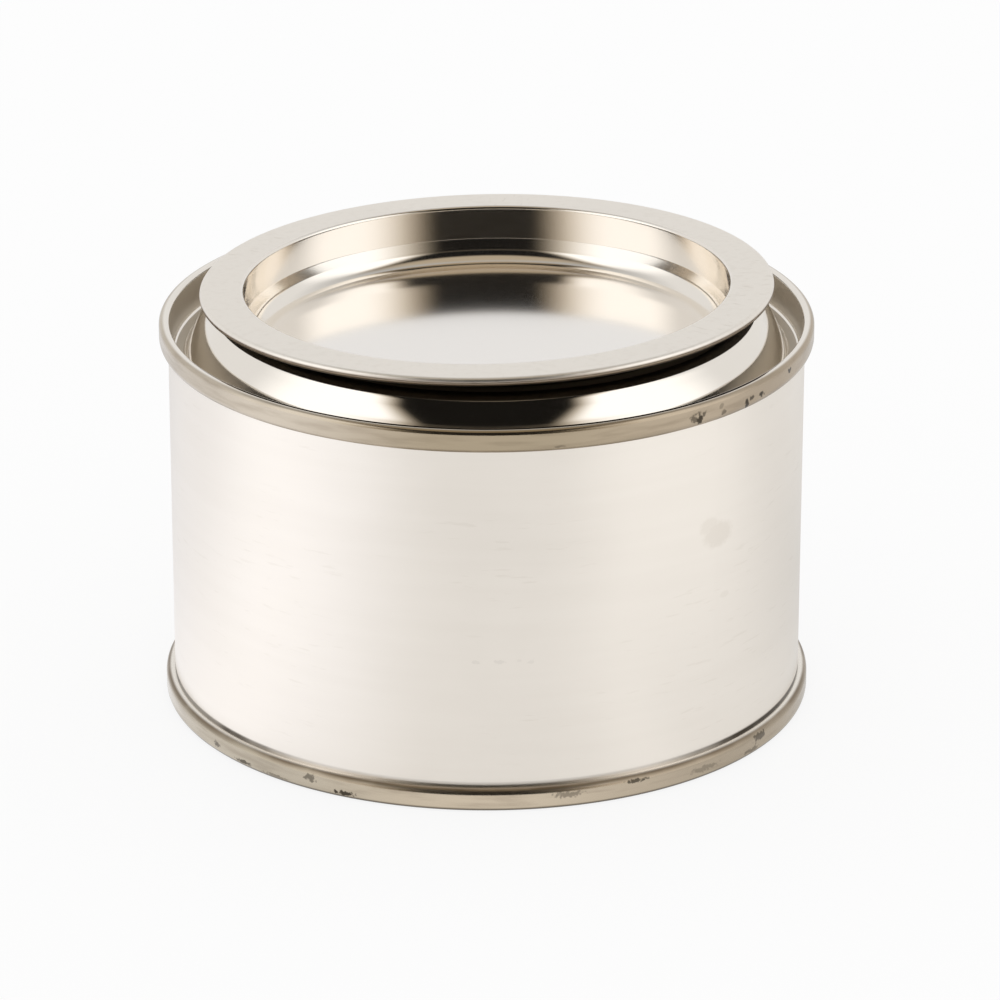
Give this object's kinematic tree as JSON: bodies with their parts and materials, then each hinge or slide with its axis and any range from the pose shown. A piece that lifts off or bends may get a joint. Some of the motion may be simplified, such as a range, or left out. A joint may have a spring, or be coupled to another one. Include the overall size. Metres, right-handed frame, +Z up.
{
  "type": "tin can",
  "caption": "Squat round tin can of bare tinplate with double seams top and bottom and a recessed lever lid pressed into its top ring.",
  "frame": {"origin": "centre of the circle that the can stands on", "axes": "+Z up along the can's axis, -Y towards the front, welded body lap at the back on +Y"},
  "size_m": [0.0874, 0.0874, 0.0583],
  "materials": {
    "body_tinplate": "satin",
    "ring_tinplate": "bright, dulled and soiled on the seam",
    "lid_tinplate": "bright inside, satin on the rim",
    "end_tinplate": "dull and soiled on the seam"
  },
  "bodies": {
    "root": {"body": "body_tinplate", "top_ring": "ring_tinplate", "lid": "lid_tinplate", "bottom_end": "end_tinplate"}
  },
  "joints": []
}
